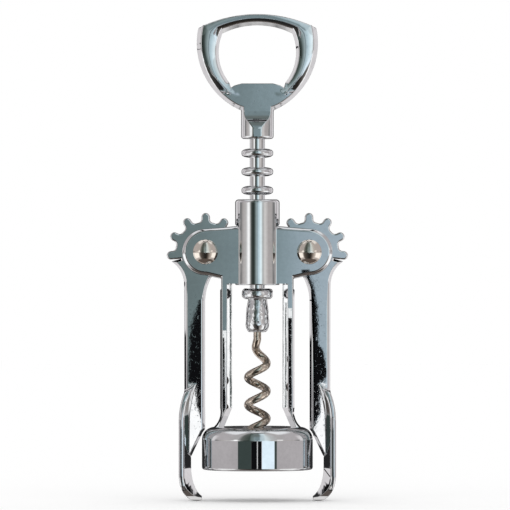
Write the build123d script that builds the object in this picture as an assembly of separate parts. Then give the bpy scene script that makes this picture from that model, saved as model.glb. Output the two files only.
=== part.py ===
from build123d import *
import math
import os

# Wing corkscrew with a cap-lifting handle. Millimetres, +Z up along the spindle.
# The origin is the centre of the bell's bottom rim, where the bottle's lip enters, and the front faces -Y.

# ---- bell and its liner ----
BELL_RADIUS = 19.95
BELL_HEIGHT = 15.3
BELL_SHOULDER = 4.5
BELL_RIM_BEVEL = 0.5
BELL_WALL = 2.6
BELL_ROOF = 3.0
WORM_HOLE_PLAY = 0.7
LINER_WALL = 1.93
LINER_ROOF = 1.7

# ---- legs and the window between them ----
FRAME_DEPTH = 9.1
LEG_WIDTH = 4.4
LEG_OUTER_DRAFT = 0.6
LEG_INNER_DRAFT = 2.0
FOOT_HEIGHT = 6.9
FOOT_INNER_FLARE = 2.9
FOOT_OUTER_FLARE = 2.3
FOOT_INSET = 4.25
WINDOW_RISE = 0.5

# ---- ears and pivots ----
PIVOT_HEIGHT = 78.3
EAR_RADIUS = 8.8
EAR_SHOULDER_RISE = 0.85
EAR_HEEL_DROP = 10.0
EAR_BEVEL = 0.9
LEVER_SIDE_PLAY = 0.25

# ---- barrel, about the pivots' height ----
BARREL_RISE = 18.9
BARREL_DROP = 11.9
BARREL_WALL = 1.85
BARREL_TOP_ROUND = 1.2
BARREL_BOTTOM_ROUND = 0.4

# ---- rivets: a headed post and a cap pressed over its far end ----
RIVET_HEAD_RADIUS = 4.45
RIVET_HEAD_HEIGHT = 2.1
RIVET_SHANK_RADIUS = 2.0
RIVET_BORE_PLAY = 0.08
CAP_SOCKET_DEPTH = 1.1

# ---- rack: rings on a sleeve, which the lever gears drive up and down ----
RING_RADIUS = 5.85
RING_PITCH = 6.702
RING_TIP_WIDTH = 1.8
RING_FLANK_ANGLE = 16.0
RING_ROUND = 0.45
RING_COUNT = 7
SLEEVE_RADIUS = 2.75
RACK_PLAY = 0.3
THRUST_GAP = 0.1

# ---- lever gears ----
GEAR_PITCH_RADIUS = 12.0
GEAR_TIP_RADIUS = 14.0
GEAR_ROOT_RADIUS = 10.8
TOOTH_WIDTH = 3.1
TOOTH_ROOT_ROUND = 1.35
TOOTH_COUNT = 7
MESH_DEPTH = 1.2
FIRST_GAP_DROP = 1.3
GEAR_SLOT_PLAY = 0.5

# ---- lever arms and pads ----
LEVER_THICKNESS = 5.0
ARM_BEYOND_BELL = 6.45
ARM_OVER_BELL = 1.25
ARM_OUTER_DROP = 11.8
ARM_INNER_DROP = 17.8
HUB_RADIUS = 9.2
HUB_HEEL_DROP = 8.9
HUB_HEEL_INSET = 2.3
ARM_DRAFT = 0.9
GEAR_EDGE_BEVEL = 0.35
LEVER_BELL_GAP = 0.4
WEB_HEEL_HEIGHT = 11.9
WEB_TOE_HEIGHT = 4.6
PAD_DEPTH = 15.0
PAD_END_ROUND = 6.0
PAD_STANDOFF = 1.8
PAD_RIDGE = 4.4
PAD_EDGE = 1.9
PAD_TOP_HEIGHT = 30.6
PAD_TOP_SWEEP = 5.7
PAD_BROW_HEIGHT = 28.0
PAD_BROW_SWEEP = 2.0
PAD_SIDE_HEIGHT = 17.8
PAD_SIDE_DROP = 2.0
PAD_RIDGE_END = 1.0
PAD_TOE_DROP = 11.2
PAD_TOE_THICKNESS = 1.2
PAD_TOE_SWEEP = 8.2
PAD_TOE_OUTER_ROUND = 6.3
PAD_TOE_INNER_ROUND = 5.4

# ---- spindle shaft, and the collar and loop of the handle ----
SHAFT_RADIUS = 1.75
SHAFT_PLAY = 0.06
PRESS_GAP = 0.02
COLLAR_RISE = 5.14
COLLAR_HEIGHT = 11.1
COLLAR_ROUND = 1.0
SHAFT_IN_HANDLE = 8.5
HANDLE_THICKNESS = 6.4
LOOP_SIDE_RADIUS = 26.5
LOOP_HALF_WIDTH = 21.9
LOOP_WIDEST = 23.4
LOOP_TOP = 33.7
LOOP_TOP_RADIUS = 48.0
LOOP_BEVEL = 2.0
OPENING_SIDE_RADIUS = 17.5
LIMB_WIDTH = 8.0
OPENING_WIDEST = 20.1
OPENING_TOP_RADIUS = 28.4
TOP_BAR_HEIGHT = 4.0
TOP_BAR_BEVEL = 1.9
OPENING_BEVEL = 1.0
LIP_HEIGHT = 8.8
LIP_FLAT_HALF = 5.6
LIP_HALF_WIDTH = 8.3
LIP_CORNER_DROP = 0.75
LIP_NOTCH_X = 9.5
LIP_NOTCH_DROP = 1.5
COLLAR_RADIUS = 5.85
TONGUE_FOOT = 1.1
TONGUE_RUNOUT = 8.1
STEM_FLAT_CUT = 0.12
PIN_RADIUS = 0.9
PIN_HEIGHT = 4.6
PIN_OVERRUN = 0.9
PIN_SUNK = 0.4

# ---- worm and the socket that holds it ----
WIRE_RADIUS = 1.4
WORM_RADIUS = 4.8
WORM_PITCH = 9.9
WORM_EASE = 9.4
WORM_TIP_HEIGHT = 12.4
WORM_POINT_ANGLE = 28.0
WORM_POINT_LAND = 0.5
WORM_LEAD_DROP = 2.0
WORM_LEAD_PITCH = 16.8
WORM_STEPS_PER_TURN = 12
SOCKET_HEIGHT = 11.9
SOCKET_TOP_RADIUS = 3.35
SOCKET_BELLY_RADIUS = 4.15
SOCKET_BELLY_HEIGHT = 4.3
SOCKET_BOTTOM_RADIUS = 3.0
SOCKET_GRIP = 6.5
SHAFT_IN_SOCKET = 4.5
FLANGE_RADIUS = 5.55
FLANGE_HEIGHT = 3.7
FLANGE_DROP = 1.3
FLANGE_ROUND = 1.3

# ---- sizes that follow ----
HALF_DEPTH = FRAME_DEPTH / 2
SLOT_HALF = LEVER_THICKNESS / 2 + LEVER_SIDE_PLAY
BORE_RADIUS = RING_RADIUS + RACK_PLAY
BARREL_RADIUS = BORE_RADIUS + BARREL_WALL
PIVOT_X = RING_RADIUS + GEAR_TIP_RADIUS - MESH_DEPTH
TOOTH_STEP = math.degrees(RING_PITCH / GEAR_PITCH_RADIUS)
FIRST_TOOTH = -math.degrees(FIRST_GAP_DROP / GEAR_PITCH_RADIUS)
FIRST_RING = PIVOT_HEIGHT - FIRST_GAP_DROP - RING_PITCH / 2
LAST_RING = FIRST_RING + (RING_COUNT - 1) * RING_PITCH
SLOT_RADIUS = GEAR_TIP_RADIUS + GEAR_SLOT_PLAY
LEG_OUTER = BELL_RADIUS - FOOT_INSET - FOOT_OUTER_FLARE
LEG_INNER = LEG_OUTER - LEG_WIDTH
BARREL_TOP = PIVOT_HEIGHT + BARREL_RISE
BARREL_BOTTOM = PIVOT_HEIGHT - BARREL_DROP
LINER_RADIUS = BELL_RADIUS - BELL_WALL
LINER_BORE = LINER_RADIUS - PRESS_GAP - LINER_WALL
BELL_CAVITY = BELL_HEIGHT - BELL_ROOF
WORM_HOLE = WORM_RADIUS + WORM_HOLE_PLAY
ARM_OUTER = BELL_RADIUS + ARM_BEYOND_BELL
ARM_INNER = BELL_RADIUS - ARM_OVER_BELL
PAD_OUTER = ARM_OUTER + PAD_STANDOFF
COLLAR_BOTTOM = LAST_RING + COLLAR_RISE
COLLAR_TOP = COLLAR_BOTTOM + COLLAR_HEIGHT
FLANGE_TOP = BARREL_BOTTOM - FLANGE_DROP
SOCKET_TOP = FLANGE_TOP - FLANGE_HEIGHT
SOCKET_BOTTOM = SOCKET_TOP - SOCKET_HEIGHT
WORM_LEAD_TOP = SOCKET_BOTTOM - WORM_LEAD_DROP
WORM_TOP_TURN = WORM_LEAD_TOP - WORM_EASE
HELIX_RADIUS = WORM_RADIUS - WIRE_RADIUS


def tube_along_y(x, z, radius, half_length):
    """A round bar across the frame, centred on the front-to-back middle."""
    return Pos(x, 0, z) * Rot(90, 0, 0) * Cylinder(radius, 2 * half_length)


def cone_along_y(x, z, middle_radius, face_radius, half_length):
    """A round form with its full radius at the middle plane and another at both faces."""
    half = Pos(0, 0, half_length / 2) * Cone(middle_radius, face_radius, half_length)
    both = half + mirror(half, Plane.XY)
    return Pos(x, 0, z) * Rot(90, 0, 0) * both


def both_faces(outline, middle_to_face, draft):
    """Extrude an outline on the middle plane to the front and the back, drawn in by draft at each face."""
    angle = math.degrees(math.atan2(draft, middle_to_face))
    front = extrude(Plane.XZ * outline, amount=middle_to_face, taper=angle)
    return front + mirror(front, Plane.XZ)


def mirrored(shape):
    """The shape on the other side of the spindle."""
    return mirror(shape, Plane.YZ)


# ---- frame ----
def side_outline():
    """Right half of the frame seen from the front: ear, leg and flared foot, down into the bell's roof."""
    root = BELL_HEIGHT - BELL_ROOF / 2
    shoulder = PIVOT_HEIGHT + EAR_RADIUS + EAR_SHOULDER_RISE
    foot_top = BELL_HEIGHT + FOOT_HEIGHT
    foot_x = LEG_OUTER + FOOT_OUTER_FLARE
    ear_top = (PIVOT_X, PIVOT_HEIGHT + EAR_RADIUS)
    ear_end = (PIVOT_X + EAR_RADIUS, PIVOT_HEIGHT)
    ear_bottom = (PIVOT_X, PIVOT_HEIGHT - EAR_RADIUS)
    heel = (LEG_OUTER, PIVOT_HEIGHT - EAR_HEEL_DROP)
    foot_mid = (LEG_OUTER + FOOT_OUTER_FLARE / 4, BELL_HEIGHT + FOOT_HEIGHT / 3)
    with BuildSketch() as sketch:
        with BuildLine():
            Polyline((0, root), (0, shoulder), (BARREL_RADIUS, shoulder), ear_top)
            ThreePointArc(ear_top, (PIVOT_X + EAR_RADIUS * math.cos(math.pi / 4),
                                    PIVOT_HEIGHT + EAR_RADIUS * math.sin(math.pi / 4)), ear_end)
            ThreePointArc(ear_end, (PIVOT_X + EAR_RADIUS * math.cos(math.pi / 4),
                                    PIVOT_HEIGHT - EAR_RADIUS * math.sin(math.pi / 4)), ear_bottom)
            Polyline(ear_bottom, heel, (LEG_OUTER, foot_top))
            ThreePointArc((LEG_OUTER, foot_top), foot_mid, (foot_x, BELL_HEIGHT))
            Polyline((foot_x, BELL_HEIGHT), (foot_x, root), (0, root))
        make_face()
    return sketch.sketch


def window_cutter():
    """Opening between the legs: narrowest on the middle plane, wider at both faces, flared at the feet."""
    top = BARREL_BOTTOM + WINDOW_RISE
    above = top + FRAME_DEPTH
    foot_top = BELL_HEIGHT + FOOT_HEIGHT
    foot_x = LEG_INNER + FOOT_INNER_FLARE
    outline = make_face(Polyline((foot_x, BELL_CAVITY), (foot_x, BELL_HEIGHT), (LEG_INNER, foot_top),
                                 (LEG_INNER, above), (-LEG_INNER, above), (-LEG_INNER, foot_top),
                                 (-foot_x, BELL_HEIGHT), (-foot_x, BELL_CAVITY), (foot_x, BELL_CAVITY)))
    cutter = both_faces(outline, HALF_DEPTH, -LEG_INNER_DRAFT)
    span = 2 * LEG_OUTER
    below_top = Pos(0, 0, top - above / 2) * Box(2 * span, 2 * FRAME_DEPTH, above)
    return cutter & below_top


def bell():
    """Turned cap with a rounded shoulder, open below, with a hole for the worm through its roof."""
    rim = Polyline((BELL_RADIUS - BELL_WALL, 0), (BELL_RADIUS - BELL_RIM_BEVEL, 0),
                   (BELL_RADIUS, BELL_RIM_BEVEL), (BELL_RADIUS, BELL_HEIGHT - BELL_SHOULDER))
    shoulder = RadiusArc((BELL_RADIUS, BELL_HEIGHT - BELL_SHOULDER),
                         (BELL_RADIUS - BELL_SHOULDER, BELL_HEIGHT), -BELL_SHOULDER)
    roof = Polyline((BELL_RADIUS - BELL_SHOULDER, BELL_HEIGHT), (WORM_HOLE, BELL_HEIGHT),
                    (WORM_HOLE, BELL_CAVITY), (BELL_RADIUS - BELL_WALL, BELL_CAVITY),
                    (BELL_RADIUS - BELL_WALL, 0))
    profile = make_face(Plane.XZ * (rim + shoulder + roof))
    return revolve(profile, Axis.Z)


def barrel():
    """Round tower that the rack slides in, with its ends rounded."""
    height = BARREL_TOP - BARREL_BOTTOM
    tower = Pos(0, 0, BARREL_BOTTOM + height / 2) * Cylinder(BARREL_RADIUS, height)
    tower = fillet(tower.edges().group_by(Axis.Z)[-1], BARREL_TOP_ROUND)
    return fillet(tower.edges().group_by(Axis.Z)[0], BARREL_BOTTOM_ROUND)


def is_ear_rim(edge):
    """True for an ear's round rim or heel on the front or rear face."""
    at = edge.center()
    on_face = abs(abs(at.Y) - HALF_DEPTH) < PRESS_GAP
    return on_face and abs(at.X) > LEG_OUTER and abs(at.Z - PIVOT_HEIGHT) < EAR_RADIUS + LEVER_SIDE_PLAY


def frame_plates():
    """Ears and legs as one plate, with the ears' rims bevelled, before the window is cut."""
    right = side_outline()
    plates = both_faces(right + mirrored(right), HALF_DEPTH, LEG_OUTER_DRAFT)
    return chamfer(plates.edges().filter_by(is_ear_rim), EAR_BEVEL)


def frame_casting():
    body = frame_plates() - window_cutter() + barrel() + bell()
    bore_height = BARREL_TOP
    body -= Pos(0, 0, BELL_HEIGHT + bore_height / 2) * Cylinder(BORE_RADIUS, bore_height)
    for x in (-PIVOT_X, PIVOT_X):
        body -= tube_along_y(x, PIVOT_HEIGHT, SLOT_RADIUS, SLOT_HALF)
        body -= tube_along_y(x, PIVOT_HEIGHT, RIVET_SHANK_RADIUS + PRESS_GAP, FRAME_DEPTH)
    return body


def bell_liner():
    """Ring that grips the bottle's lip, with a roof that keeps the worm central."""
    outer = LINER_RADIUS - PRESS_GAP
    top = BELL_CAVITY - PRESS_GAP
    seat = top - LINER_ROOF
    profile = make_face(Plane.XZ * Polyline((outer, 0.0), (outer, top), (WORM_HOLE, top), (WORM_HOLE, seat),
                                            (LINER_BORE, seat), (LINER_BORE, 0.0), (outer, 0.0)))
    return revolve(profile, Axis.Z)


# ---- rivets ----
def rivet_dome():
    """Domed head that stands on the XY plane."""
    sphere = (RIVET_HEAD_RADIUS ** 2 + RIVET_HEAD_HEIGHT ** 2) / (2 * RIVET_HEAD_HEIGHT)
    edges = RadiusArc((0, RIVET_HEAD_HEIGHT), (RIVET_HEAD_RADIUS, 0), sphere)
    edges += Polyline((RIVET_HEAD_RADIUS, 0), (0, 0), (0, RIVET_HEAD_HEIGHT))
    return revolve(Plane.XZ * make_face(edges), Axis.Z)


def rivet_post(x):
    """Front head with a shank that runs through both ears and into the rear cap."""
    length = FRAME_DEPTH + CAP_SOCKET_DEPTH
    shank = Pos(0, 0, -length / 2) * Cylinder(RIVET_SHANK_RADIUS, length)
    return Pos(x, -HALF_DEPTH, PIVOT_HEIGHT) * Rot(90, 0, 0) * (rivet_dome() + shank)


def rivet_cap(x):
    """Rear head, hollowed for the end of the shank."""
    socket = Cylinder(RIVET_SHANK_RADIUS + PRESS_GAP, 2 * (CAP_SOCKET_DEPTH + PRESS_GAP))
    return Pos(x, HALF_DEPTH, PIVOT_HEIGHT) * Rot(-90, 0, 0) * (rivet_dome() - socket)


# ---- levers ----
def tooth_direction(index):
    """Direction of a tooth from the right pivot, in degrees from +X, the first one facing the rack."""
    return 180 - FIRST_TOOTH - index * TOOTH_STEP


def gear_outline():
    """Hub, toothed sector and round-tipped teeth of the right lever, about its pivot."""
    first = tooth_direction(0) + TOOTH_STEP
    last = tooth_direction(TOOTH_COUNT - 1)
    sector = make_face(PolarLine((0, 0), GEAR_ROOT_RADIUS, last)
                       + CenterArc((0, 0), GEAR_ROOT_RADIUS, last, first - last)
                       + PolarLine((0, 0), GEAR_ROOT_RADIUS, first))
    outline = Circle(HUB_RADIUS) + sector
    tooth_length = GEAR_TIP_RADIUS - TOOTH_WIDTH / 2
    for index in range(TOOTH_COUNT):
        tooth = Pos(tooth_length / 2, 0) * Rectangle(tooth_length, TOOTH_WIDTH)
        tooth += Pos(tooth_length, 0) * Circle(TOOTH_WIDTH / 2)
        outline += Rot(0, 0, tooth_direction(index)) * tooth
    return outline


def gear_sector():
    """The toothed sector as a flat plate about the pivot, with rounded roots and bevelled faces."""
    plate = extrude(gear_outline(), amount=LEVER_THICKNESS / 2, both=True)
    roots = [edge for edge in plate.edges().filter_by(Axis.Z) if is_tooth_root(edge.center())]
    plate = fillet(roots, TOOTH_ROOT_ROUND)
    flat = plate.faces().filter_by(Axis.Z)
    return chamfer(flat.edges(), GEAR_EDGE_BEVEL)


def is_tooth_root(point):
    """True where a tooth leaves the root circle."""
    return abs(math.hypot(point.X, point.Y) - GEAR_ROOT_RADIUS) < PRESS_GAP


def arm_outline():
    """Arm of the right lever with its web, cut back round the bell's shoulder."""
    tooth = math.radians(tooth_direction(TOOTH_COUNT - 1))
    tip_center = GEAR_TIP_RADIUS - TOOTH_WIDTH / 2
    below_tooth = TOOTH_WIDTH / 2 + ARM_DRAFT - GEAR_EDGE_BEVEL
    armpit = (PIVOT_X + tip_center * math.cos(tooth), PIVOT_HEIGHT + tip_center * math.sin(tooth) - below_tooth)
    arm_top = (ARM_OUTER, PIVOT_HEIGHT - ARM_OUTER_DROP)
    heel = (PIVOT_X - HUB_HEEL_INSET, PIVOT_HEIGHT - HUB_HEEL_DROP)
    inner_top = (ARM_INNER, PIVOT_HEIGHT - ARM_INNER_DROP)
    toe = (PAD_OUTER - PAD_RIDGE, WEB_TOE_HEIGHT)
    bell_side = (BELL_RADIUS + LEVER_BELL_GAP, WEB_HEEL_HEIGHT)
    outer_curve = TangentArc(arm_top, armpit, tangent=(0, 1))
    inner_curve = TangentArc(inner_top, heel, tangent=(0, 1))
    edges = Polyline((PIVOT_X, PIVOT_HEIGHT), armpit) + outer_curve
    edges += Polyline(arm_top, (ARM_OUTER, WEB_TOE_HEIGHT), toe, bell_side, (ARM_INNER, WEB_HEEL_HEIGHT), inner_top)
    edges += inner_curve
    edges += Line(heel, (PIVOT_X, PIVOT_HEIGHT))
    return make_face(edges) - bell_clearance()


def bell_clearance():
    """The bell's side view with the lever's gap all round it."""
    height = BELL_HEIGHT + LEVER_BELL_GAP
    block = Pos(0, height / 2) * Rectangle(2 * (BELL_RADIUS + LEVER_BELL_GAP), height)
    return fillet(block.vertices().group_by(Axis.Y)[-1], BELL_SHOULDER + LEVER_BELL_GAP)


def toe_arc(side, start, rounding, bottom):
    """Elliptical curve of the pad's toe, from a straight side round to the plane where the toe ends."""
    center_x = side - rounding
    turn = math.degrees(math.acos((PAD_OUTER - PAD_TOE_SWEEP - center_x) / rounding))
    return EllipticalCenterArc((center_x, start), rounding, start - bottom, -turn, arc_size=turn)


def pad_outline(thickness, inner_end):
    """Crescent of the thumb pad seen from the front, where it has this thickness down to inner_end."""
    top_tip = (PAD_OUTER - PAD_TOP_SWEEP, PAD_TOP_HEIGHT)
    brow = (PAD_OUTER - PAD_BROW_SWEEP, PAD_BROW_HEIGHT)
    side_top = (PAD_OUTER, PAD_SIDE_HEIGHT)
    inner = PAD_OUTER - thickness
    outer_toe = toe_arc(PAD_OUTER, -PAD_SIDE_DROP, PAD_TOE_OUTER_ROUND, -PAD_TOE_DROP)
    inner_toe = toe_arc(inner, inner_end, PAD_TOE_INNER_ROUND, PAD_TOE_THICKNESS - PAD_TOE_DROP)
    edges = Line(top_tip, brow) + TangentArc(side_top, brow, tangent=(0, 1))
    edges += Line(side_top, outer_toe @ 1) + outer_toe
    edges += Line(outer_toe @ 0, inner_toe @ 0) + inner_toe
    edges += Line(inner_toe @ 1, (inner, PAD_SIDE_HEIGHT))
    edges += TangentArc((inner, PAD_SIDE_HEIGHT), top_tip, tangent=(0, 1))
    return make_face(edges).face()


def thumb_pad():
    """Cross flange of the lever: thickest at its ridge on the middle plane, thin at both edges."""
    ridge = pad_outline(PAD_RIDGE, PAD_RIDGE_END)
    edge = Pos(0, 0, PAD_DEPTH / 2) * pad_outline(PAD_EDGE, -PAD_SIDE_DROP)
    front = Rot(90, 0, 0) * loft([ridge, edge], ruled=True)
    height = PAD_TOP_HEIGHT + PAD_TOE_DROP
    shape = RectangleRounded(PAD_DEPTH, height, PAD_END_ROUND)
    side_view = extrude(Plane.YZ * Pos(0, height / 2 - PAD_TOE_DROP) * shape, amount=2 * PAD_OUTER)
    return (front + mirror(front, Plane.XZ)) & side_view


def lever_right():
    gear = Pos(PIVOT_X, 0, PIVOT_HEIGHT) * Rot(90, 0, 0) * gear_sector()
    body = gear + both_faces(arm_outline(), LEVER_THICKNESS / 2, ARM_DRAFT) + thumb_pad()
    return body - tube_along_y(PIVOT_X, PIVOT_HEIGHT, RIVET_SHANK_RADIUS + RIVET_BORE_PLAY, LEVER_THICKNESS)


# ---- rack and spindle ----
def rack_ring(z):
    """One ring of the rack: sloped flanks and rounded corners."""
    spread = (RING_RADIUS - SLEEVE_RADIUS) * math.tan(math.radians(RING_FLANK_ANGLE))
    base = RING_TIP_WIDTH / 2 + spread
    profile = make_face(Polyline((0, -base), (SLEEVE_RADIUS, -base), (RING_RADIUS, -RING_TIP_WIDTH / 2),
                                 (RING_RADIUS, RING_TIP_WIDTH / 2), (SLEEVE_RADIUS, base), (0, base), (0, -base)))
    profile = fillet(profile.vertices().group_by(Axis.X)[-1], RING_ROUND)
    return Pos(0, 0, z) * revolve(Plane.XZ * profile, Axis.Z)


def rack_sleeve():
    bottom = FLANGE_TOP + THRUST_GAP
    height = COLLAR_BOTTOM - THRUST_GAP - bottom
    sleeve = Pos(0, 0, bottom + height / 2) * Cylinder(SLEEVE_RADIUS, height)
    for index in range(RING_COUNT):
        sleeve += rack_ring(FIRST_RING + index * RING_PITCH)
    return sleeve - Pos(0, 0, bottom + height / 2) * Cylinder(SHAFT_RADIUS + SHAFT_PLAY, height)


def spindle_shaft():
    bottom = FLANGE_TOP - SHAFT_IN_SOCKET
    height = COLLAR_BOTTOM + SHAFT_IN_HANDLE - bottom
    shaft = Pos(0, 0, bottom + height / 2) * Cylinder(SHAFT_RADIUS, height)
    return shaft - pin_bar(PIN_RADIUS + PRESS_GAP)


def pin_bar(radius):
    """Bar from the rear of the collar through the shaft, to PIN_OVERRUN in front of it."""
    front = -SHAFT_RADIUS - PIN_OVERRUN
    rear = COLLAR_RADIUS - PIN_SUNK
    return Pos(0, (front + rear) / 2, COLLAR_BOTTOM + PIN_HEIGHT) * Rot(90, 0, 0) * Cylinder(radius, rear - front)


def handle_pin():
    return pin_bar(PIN_RADIUS)


# ---- handle ----
def loop_body():
    """Loop plate: two bevelled side arcs that meet below, under a gently arched top."""
    z = COLLAR_TOP + LOOP_WIDEST
    half = HANDLE_THICKNESS / 2
    offset = LOOP_SIDE_RADIUS - LOOP_HALF_WIDTH
    face_radius = LOOP_SIDE_RADIUS - LOOP_BEVEL
    left = cone_along_y(offset, z, LOOP_SIDE_RADIUS, face_radius, half)
    right = cone_along_y(-offset, z, LOOP_SIDE_RADIUS, face_radius, half)
    top = tube_along_y(0, COLLAR_TOP + LOOP_TOP - LOOP_TOP_RADIUS, LOOP_TOP_RADIUS, half)
    return left & right & top


def loop_opening():
    """Hole in the loop: rounded sides and top, down to the cap lip."""
    z = COLLAR_TOP + OPENING_WIDEST
    half = HANDLE_THICKNESS / 2
    offset = OPENING_SIDE_RADIUS - (LOOP_HALF_WIDTH - LIMB_WIDTH)
    face_radius = OPENING_SIDE_RADIUS + OPENING_BEVEL
    left = cone_along_y(offset, z, OPENING_SIDE_RADIUS, face_radius, half)
    right = cone_along_y(-offset, z, OPENING_SIDE_RADIUS, face_radius, half)
    top_radius = OPENING_TOP_RADIUS
    crown = COLLAR_TOP + LOOP_TOP - TOP_BAR_HEIGHT
    top = cone_along_y(0, crown - top_radius, top_radius, top_radius + TOP_BAR_BEVEL, half)
    lip = COLLAR_TOP + LIP_HEIGHT
    above_lip = Pos(0, 0, lip + LOOP_TOP / 2) * Box(2 * LOOP_HALF_WIDTH, 2 * HANDLE_THICKNESS, LOOP_TOP)
    opening = left & right & top & above_lip
    for side in (-1, 1):
        opening += extrude(Plane.XZ * lip_corner(side, lip), amount=HANDLE_THICKNESS, both=True)
    return opening


def lip_corner(side, lip):
    """Space beside the raised lip, down to the notch that frees its corner."""
    flat_end = (side * LIP_FLAT_HALF, lip)
    corner = (side * LIP_HALF_WIDTH, lip - LIP_CORNER_DROP)
    notch = (side * LIP_NOTCH_X, lip - LIP_NOTCH_DROP)
    limb = (side * (LIP_NOTCH_X + LIP_CORNER_DROP), lip + LIP_CORNER_DROP)
    return make_face(Polyline(flat_end, corner, notch, limb, (side * LIP_FLAT_HALF, limb[1]), flat_end))


def collar():
    """Round collar that slides into the barrel: its flats curve out to a narrow stem towards its foot."""
    height = COLLAR_HEIGHT + COLLAR_RADIUS / 2
    body = Pos(0, 0, COLLAR_BOTTOM + height / 2) * Cylinder(COLLAR_RADIUS, height)
    body = fillet(body.edges().group_by(Axis.Z)[0], COLLAR_ROUND)
    half = HANDLE_THICKNESS / 2
    stem = COLLAR_RADIUS - STEM_FLAT_CUT
    flat_foot = (half, COLLAR_TOP - TONGUE_FOOT)
    run_end = (stem, COLLAR_TOP - TONGUE_RUNOUT)
    middle = ((flat_foot[0] + run_end[0]) / 2, (flat_foot[1] + run_end[1]) / 2)
    beyond = 2 * COLLAR_RADIUS
    top = COLLAR_TOP + height
    bottom = COLLAR_BOTTOM - COLLAR_ROUND
    edges = TangentArc(flat_foot, middle, tangent=(0, -1)) + TangentArc(run_end, middle, tangent=(0, 1))
    edges += Polyline(run_end, (stem, bottom), (beyond, bottom), (beyond, top), (half, top), flat_foot)
    cutter = extrude(Plane.YZ * make_face(edges), amount=beyond, both=True)
    return body - cutter - mirror(cutter, Plane.XZ)


def handle_opener():
    body = loop_body() + collar() - loop_opening()
    shaft_hole = SHAFT_IN_HANDLE + PRESS_GAP
    body -= Pos(0, 0, COLLAR_BOTTOM) * Cylinder(SHAFT_RADIUS + PRESS_GAP, 2 * shaft_hole)
    rear_hole = Pos(0, COLLAR_RADIUS, COLLAR_BOTTOM + PIN_HEIGHT) * Rot(90, 0, 0)
    body -= rear_hole * Cylinder(PIN_RADIUS + PRESS_GAP, 2 * COLLAR_RADIUS)
    return body - pin_bar(PIN_RADIUS + PRESS_GAP)


# ---- worm ----
def worm_socket():
    """Stop flange above a barrel-shaped socket, bored for the shaft above and the wire below."""
    ring = Pos(0, 0, SOCKET_TOP + FLANGE_HEIGHT / 2) * Cylinder(FLANGE_RADIUS, FLANGE_HEIGHT)
    ring = fillet(ring.edges().filter_by(GeomType.CIRCLE), FLANGE_ROUND)
    belly = SOCKET_BOTTOM + SOCKET_BELLY_HEIGHT
    side = Spline((SOCKET_TOP_RADIUS, SOCKET_TOP), (SOCKET_BELLY_RADIUS, belly),
                  (SOCKET_BOTTOM_RADIUS, SOCKET_BOTTOM), tangents=[(0.2, -1), (-1, -0.6)])
    middle = SOCKET_TOP + FLANGE_HEIGHT / 2
    edges = side + Polyline((SOCKET_BOTTOM_RADIUS, SOCKET_BOTTOM), (0, SOCKET_BOTTOM), (0, middle),
                            (SOCKET_TOP_RADIUS, middle), (SOCKET_TOP_RADIUS, SOCKET_TOP))
    body = ring + revolve(Plane.XZ * make_face(edges), Axis.Z)
    body -= Pos(0, 0, FLANGE_TOP) * Cylinder(SHAFT_RADIUS + PRESS_GAP, 2 * (SHAFT_IN_SOCKET + PRESS_GAP))
    return body - Pos(0, 0, SOCKET_BOTTOM) * Cylinder(WIRE_RADIUS + PRESS_GAP, 2 * (SOCKET_GRIP + PRESS_GAP))


def worm_center(z):
    """Centre of the wire at a height: on the axis at the socket, easing out to the full coil below."""
    pitch = WORM_LEAD_PITCH if z > WORM_TOP_TURN else WORM_PITCH
    turn = 2 * math.pi * (z - WORM_TOP_TURN) / pitch
    ease = min(1.0, max(0.0, (WORM_LEAD_TOP - z) / WORM_EASE))
    radius = HELIX_RADIUS * ease * ease * (3 - 2 * ease)
    return Vector(radius * math.cos(turn), radius * math.sin(turn), z)


def worm_line(top, bottom):
    """Smooth centre line between two heights."""
    steps = math.ceil((top - bottom) / WORM_PITCH * WORM_STEPS_PER_TURN)
    return Spline(*[worm_center(top + (bottom - top) * step / steps) for step in range(steps + 1)])


def point_grind(line):
    """Block that grinds the end of the wire to a point, from the inside of the coil."""
    end = line @ 1
    radial = Vector(end.X, end.Y, 0)
    frame = Plane(origin=end, x_dir=radial, z_dir=line % 1)
    size = 3 * WIRE_RADIUS
    back = 2 * WIRE_RADIUS / math.tan(math.radians(WORM_POINT_ANGLE))
    block = Pos(-size / 2, 0, (WIRE_RADIUS - back) / 2) * Box(size, size, WIRE_RADIUS + back)
    return frame * Pos(WIRE_RADIUS - WORM_POINT_LAND, 0, 0) * Rot(0, WORM_POINT_ANGLE, 0) * block


def worm():
    """Steel wire: straight in the socket, then a right-handed coil that is ground to a point."""
    shank_top = SOCKET_BOTTOM + SOCKET_GRIP
    shank = Pos(0, 0, (shank_top + WORM_LEAD_TOP) / 2) * Cylinder(WIRE_RADIUS, shank_top - WORM_LEAD_TOP)
    line = worm_line(WORM_LEAD_TOP, WORM_TIP_HEIGHT)
    coil = sweep(Plane(line @ 0, z_dir=line % 0) * Circle(WIRE_RADIUS), path=line)
    return shank + coil - point_grind(line)


# ---- every piece in its own file ----
def main():
    lever = lever_right()
    nodes = {
        "frame_casting": frame_casting(),
        "bell_liner": bell_liner(),
        "rivet_post_left": rivet_post(-PIVOT_X),
        "rivet_post_right": rivet_post(PIVOT_X),
        "rivet_cap_left": rivet_cap(-PIVOT_X),
        "rivet_cap_right": rivet_cap(PIVOT_X),
        "lever_left": mirrored(lever),
        "lever_right": lever,
        "rack_sleeve": rack_sleeve(),
        "spindle_shaft": spindle_shaft(),
        "handle_opener": handle_opener(),
        "handle_pin": handle_pin(),
        "worm_socket": worm_socket(),
        "worm": worm(),
    }
    os.makedirs("parts", exist_ok=True)
    for name, shape in nodes.items():
        export_step(shape, f"parts/{name}.step")


main()
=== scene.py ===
import math

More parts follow.
